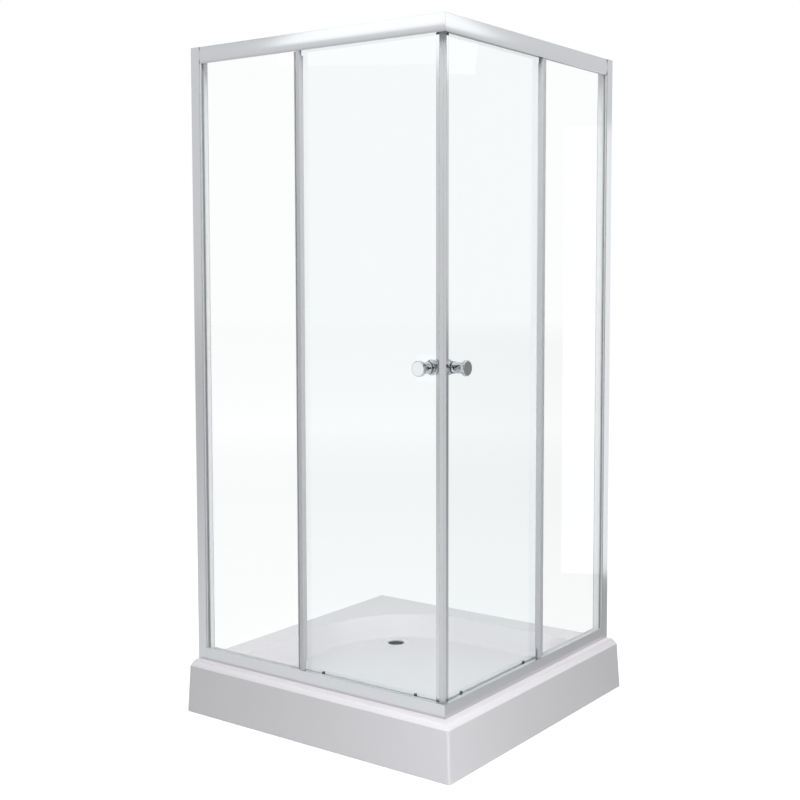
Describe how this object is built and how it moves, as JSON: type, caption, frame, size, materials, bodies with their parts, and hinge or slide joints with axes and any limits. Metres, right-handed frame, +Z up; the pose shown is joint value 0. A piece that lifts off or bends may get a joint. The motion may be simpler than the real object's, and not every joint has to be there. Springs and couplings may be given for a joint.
{
  "type": "shower enclosure with sliding doors",
  "caption": "Square corner shower enclosure: white tray with apron, chrome-look frame, fixed panes and two sliding glass doors that meet at the entry corner.",
  "frame": {"origin": "centre of the footprint on the floor", "axes": "+Z up; the room's walls stand at -X and +Y; the entry corner is at +X, -Y"},
  "size_m": [0.911, 0.911, 1.88],
  "materials": {
    "tray_acrylic": "gloss white acrylic",
    "apron_acrylic": "gloss white acrylic-capped sheet",
    "board": "raw chipboard",
    "zinc_steel": "zinc plated",
    "screw_steel": "bright stainless",
    "aluminium": "bright polished anodised",
    "glass": "clear toughened safety glass",
    "chrome": "polished chrome plate",
    "dark_gasket": "dark grey rubber",
    "rubber": "black rubber",
    "grey_seal": "soft grey extruded seal",
    "magnet_strip": "soft grey extrusion over a magnetic core",
    "white_plastic": "white nylon",
    "dark_plastic": "dark grey nylon",
    "black_plastic": "black polypropylene"
  },
  "bodies": {
    "enclosure": {"tray": "tray_acrylic", "apron": "apron_acrylic", "tray_board": "board", "crossbars": "zinc_steel", "foot_rods": "zinc_steel", "foot_nuts": "zinc_steel", "apron_brackets": "zinc_steel", "foot_pads": "black_plastic", "jamb_gaskets": "dark_gasket", "fixed_edge_seals": "grey_seal", "glazing_strips": "grey_seal", "sill_infills": "aluminium", "door_stops": "rubber", "jamb_screws": "screw_steel", "top_corner_connector": "black_plastic", "bottom_corner_connector": "black_plastic", "bottom_rail_left": "aluminium", "top_rail_left": "aluminium", "wall_profile_left": "aluminium", "jamb_left": "aluminium", "fixed_glass_left": "glass", "bottom_rail_right": "aluminium", "top_rail_right": "aluminium", "wall_profile_right": "aluminium", "jamb_right": "aluminium", "fixed_glass_right": "glass"},
    "left_door": {"door_glass_left": "glass", "door_edge_profile_left": "aluminium", "magnetic_seal_left": "magnet_strip", "door_back_seal_left": "grey_seal", "knob_outer_left": "chrome", "knob_inner_left": "chrome", "knob_stud_left": "screw_steel", "knob_gaskets_left": "dark_gasket", "top_roller_brackets_left": "white_plastic", "roller_bolts_left": "chrome", "bottom_roller_housings_left": "white_plastic"},
    "left_front_top_wheel": {"top_wheel_front_left": "white_plastic"},
    "left_front_release_button": {"release_button_front_left": "dark_plastic"},
    "left_front_guide_wheel": {"bottom_wheel_front_left": "white_plastic"},
    "left_back_top_wheel": {"top_wheel_back_left": "white_plastic"},
    "left_back_release_button": {"release_button_back_left": "dark_plastic"},
    "left_back_guide_wheel": {"bottom_wheel_back_left": "white_plastic"},
    "right_door": {"door_glass_right": "glass", "door_edge_profile_right": "aluminium", "magnetic_seal_right": "magnet_strip", "door_back_seal_right": "grey_seal", "knob_outer_right": "chrome", "knob_inner_right": "chrome", "knob_stud_right": "screw_steel", "knob_gaskets_right": "dark_gasket", "top_roller_brackets_right": "white_plastic", "roller_bolts_right": "chrome", "bottom_roller_housings_right": "white_plastic"},
    "right_front_top_wheel": {"top_wheel_front_right": "white_plastic"},
    "right_front_release_button": {"release_button_front_right": "dark_plastic"},
    "right_front_guide_wheel": {"bottom_wheel_front_right": "white_plastic"},
    "right_back_top_wheel": {"top_wheel_back_right": "white_plastic"},
    "right_back_release_button": {"release_button_back_right": "dark_plastic"},
    "right_back_guide_wheel": {"bottom_wheel_back_right": "white_plastic"}
  },
  "joints": [
    {"name": "left_door_slide", "type": "slide", "parent": "enclosure", "child": "left_door", "axis": [-1, 0, 0], "range_m": [0, 0.325]},
    {"name": "left_front_top_wheel_spin", "type": "hinge", "parent": "left_door", "child": "left_front_top_wheel", "pos_m": [0.3005, -0.3802, 1.8543], "axis": [0, -1, 0], "continuous": true},
    {"name": "left_front_release_press", "type": "slide", "parent": "left_door", "child": "left_front_release_button", "axis": [0, 0, -1], "range_m": [0, 0.003], "stiffness_N_per_m": 1000, "springref_m": -0.003},
    {"name": "left_front_guide_wheel_spin", "type": "hinge", "parent": "left_front_release_button", "child": "left_front_guide_wheel", "pos_m": [0.3005, -0.3795, 0.1565], "axis": [0, 1, 0], "continuous": true},
    {"name": "left_back_top_wheel_spin", "type": "hinge", "parent": "left_door", "child": "left_back_top_wheel", "pos_m": [-0.0065, -0.3802, 1.8543], "axis": [0, -1, 0], "continuous": true},
    {"name": "left_back_release_press", "type": "slide", "parent": "left_door", "child": "left_back_release_button", "axis": [0, 0, -1], "range_m": [0, 0.003], "stiffness_N_per_m": 1000, "springref_m": -0.003},
    {"name": "left_back_guide_wheel_spin", "type": "hinge", "parent": "left_back_release_button", "child": "left_back_guide_wheel", "pos_m": [-0.0065, -0.3795, 0.1565], "axis": [0, 1, 0], "continuous": true},
    {"name": "right_door_slide", "type": "slide", "parent": "enclosure", "child": "right_door", "axis": [0, 1, 0], "range_m": [0, 0.325]},
    {"name": "right_front_top_wheel_spin", "type": "hinge", "parent": "right_door", "child": "right_front_top_wheel", "pos_m": [0.3802, -0.3005, 1.8543], "axis": [-1, 0, 0], "continuous": true},
    {"name": "right_front_release_press", "type": "slide", "parent": "right_door", "child": "right_front_release_button", "axis": [0, 0, -1], "range_m": [0, 0.003], "stiffness_N_per_m": 1000, "springref_m": -0.003},
    {"name": "right_front_guide_wheel_spin", "type": "hinge", "parent": "right_front_release_button", "child": "right_front_guide_wheel", "pos_m": [0.3795, -0.3005, 0.1565], "axis": [1, 0, 0], "continuous": true},
    {"name": "right_back_top_wheel_spin", "type": "hinge", "parent": "right_door", "child": "right_back_top_wheel", "pos_m": [0.3802, 0.0065, 1.8543], "axis": [-1, 0, 0], "continuous": true},
    {"name": "right_back_release_press", "type": "slide", "parent": "right_door", "child": "right_back_release_button", "axis": [0, 0, -1], "range_m": [0, 0.003], "stiffness_N_per_m": 1000, "springref_m": -0.003},
    {"name": "right_back_guide_wheel_spin", "type": "hinge", "parent": "right_back_release_button", "child": "right_back_guide_wheel", "pos_m": [0.3795, 0.0065, 0.1565], "axis": [1, 0, 0], "continuous": true}
  ],
  "couplings": [
    {"joint": "left_front_top_wheel_spin", "follows": "left_door_slide", "rad_per_m": 90.909},
    {"joint": "left_front_guide_wheel_spin", "follows": "left_door_slide", "rad_per_m": 142.86},
    {"joint": "left_back_top_wheel_spin", "follows": "left_door_slide", "rad_per_m": 90.909},
    {"joint": "left_back_guide_wheel_spin", "follows": "left_door_slide", "rad_per_m": 142.86},
    {"joint": "right_front_top_wheel_spin", "follows": "right_door_slide", "rad_per_m": 90.909},
    {"joint": "right_front_guide_wheel_spin", "follows": "right_door_slide", "rad_per_m": 142.86},
    {"joint": "right_back_top_wheel_spin", "follows": "right_door_slide", "rad_per_m": 90.909},
    {"joint": "right_back_guide_wheel_spin", "follows": "right_door_slide", "rad_per_m": 142.86}
  ]
}
